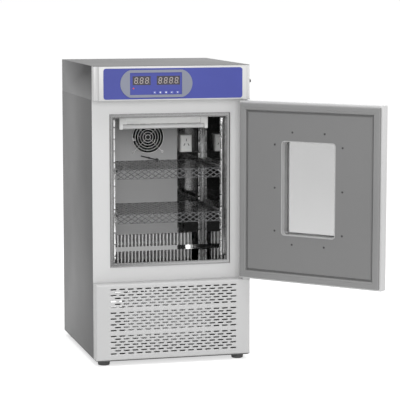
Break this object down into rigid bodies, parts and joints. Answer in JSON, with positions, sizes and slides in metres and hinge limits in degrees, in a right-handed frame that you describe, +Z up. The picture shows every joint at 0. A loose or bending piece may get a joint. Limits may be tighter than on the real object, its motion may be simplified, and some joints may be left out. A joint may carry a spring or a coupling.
{
  "type": "biochemical oxygen demand incubator",
  "caption": "Upright cooled laboratory incubator with a glazed side-hung door standing open, sliding mesh shelves, a fan and lamp in a bright steel chamber, and a slotted machine space below.",
  "frame": {"origin": "middle of the underside of the box that holds the whole part at rest, with the door standing open", "axes": "+Z up, +Y from the door side to the rear, +X towards the hinge side"},
  "size_m": [0.9008, 0.9868, 1.015],
  "materials": {
    "dark_paint": "satin dark grey enamel",
    "pale_paint": "satin pale grey enamel",
    "stainless": "bright rolled stainless steel",
    "shelf_metal": "zinc plated expanded metal",
    "duct_grey": "matt grey paint",
    "coil_metal": "bare fins",
    "foam": "rigid foam",
    "guard_wire": "bright plated wire",
    "black_plastic": "fine texture",
    "rubber": "matt",
    "white_plastic": "smooth",
    "tube_glass": "frosted white tube",
    "probe_metal": "dull sensor sheath",
    "blue_film": "smooth blue film",
    "bezel_silver": "silver print",
    "display_dark": "dark display window",
    "button_blue": "smooth",
    "red_lens": "clear red",
    "board_green": "circuit board",
    "liner_grey": "mid grey moulded panel",
    "gasket_grey": "soft grey seal",
    "clear_glass": "clear",
    "compressor_black": "gloss black enamel"
  },
  "bodies": {
    "cabinet": {"base_pan": "dark_paint", "chamber_insulation": "foam", "chamber_liner": "stainless", "chamber_trim": "stainless", "compressor": "compressor_black", "condenser": "coil_metal", "control_board": "board_green", "control_fascia": "pale_paint", "control_hood": "dark_paint", "display_bezel": "bezel_silver", "duct_panel": "duct_grey", "evaporator": "coil_metal", "fan_frame": "black_plastic", "fan_guard": "guard_wire", "feet": "rubber", "front_frame": "pale_paint", "front_pilasters": "stainless", "indicator_lamp": "red_lens", "lamp_base": "white_plastic", "lamp_holders": "white_plastic", "lamp_lead": "white_plastic", "lamp_tube": "tube_glass", "left_display": "display_dark", "left_side_panel": "dark_paint", "lower_front_panel": "pale_paint", "lower_hinge_bracket": "pale_paint", "lower_runners": "stainless", "machine_deck": "dark_paint", "mains_inlet": "black_plastic", "overlay_panel": "blue_film", "rear_grille": "dark_paint", "rear_panel": "dark_paint", "rear_pilasters": "stainless", "right_display": "display_dark", "right_side_panel": "dark_paint", "socket_outlet": "white_plastic", "socket_panel": "stainless", "switch_housing": "black_plastic", "temperature_probe": "probe_metal", "upper_hinge_bracket": "pale_paint", "upper_runners": "stainless"},
    "door": {"door_shell": "pale_paint", "door_insulation": "foam", "door_liner": "liner_grey", "door_gasket": "gasket_grey", "window_surround": "liner_grey", "outer_glass": "clear_glass", "inner_glass": "clear_glass", "liner_screws": "guard_wire", "door_handle": "black_plastic"},
    "upper_shelf": {"upper_shelf": "shelf_metal"},
    "lower_shelf": {"lower_shelf": "shelf_metal"},
    "fan_rotor": {"fan_rotor": "black_plastic"},
    "power_rocker": {"power_rocker": "black_plastic"},
    "button_1": {"button_1": "button_blue"},
    "button_2": {"button_2": "button_blue"},
    "button_3": {"button_3": "button_blue"},
    "button_4": {"button_4": "button_blue"},
    "button_5": {"button_5": "button_blue"}
  },
  "joints": [
    {"name": "door_hinge", "type": "hinge", "parent": "cabinet", "child": "door", "pos_m": [0.0776, -0.08761, 0.59], "axis": [0, 0, 1], "range_deg": [-133, 25]},
    {"name": "upper_shelf_slide", "type": "slide", "parent": "cabinet", "child": "upper_shelf", "axis": [0, -1, 0], "range_m": [0, 0.25]},
    {"name": "lower_shelf_slide", "type": "slide", "parent": "cabinet", "child": "lower_shelf", "axis": [0, -1, 0], "range_m": [0, 0.25]},
    {"name": "fan_spin", "type": "hinge", "parent": "cabinet", "child": "fan_rotor", "pos_m": [-0.1804, 0.30339, 0.743], "axis": [0, 1, 0], "continuous": true},
    {"name": "power_switch", "type": "hinge", "parent": "cabinet", "child": "power_rocker", "pos_m": [0.0876, -0.06761, 0.959], "axis": [0, 0, 1], "range_deg": [0, 9]},
    {"name": "button_1_press", "type": "slide", "parent": "cabinet", "child": "button_1", "axis": [0, 1, 0], "range_m": [0, 0.0008], "stiffness_N_per_m": 400},
    {"name": "button_2_press", "type": "slide", "parent": "cabinet", "child": "button_2", "axis": [0, 1, 0], "range_m": [0, 0.0008], "stiffness_N_per_m": 400},
    {"name": "button_3_press", "type": "slide", "parent": "cabinet", "child": "button_3", "axis": [0, 1, 0], "range_m": [0, 0.0008], "stiffness_N_per_m": 400},
    {"name": "button_4_press", "type": "slide", "parent": "cabinet", "child": "button_4", "axis": [0, 1, 0], "range_m": [0, 0.0008], "stiffness_N_per_m": 400},
    {"name": "button_5_press", "type": "slide", "parent": "cabinet", "child": "button_5", "axis": [0, 1, 0], "range_m": [0, 0.0008], "stiffness_N_per_m": 400}
  ]
}
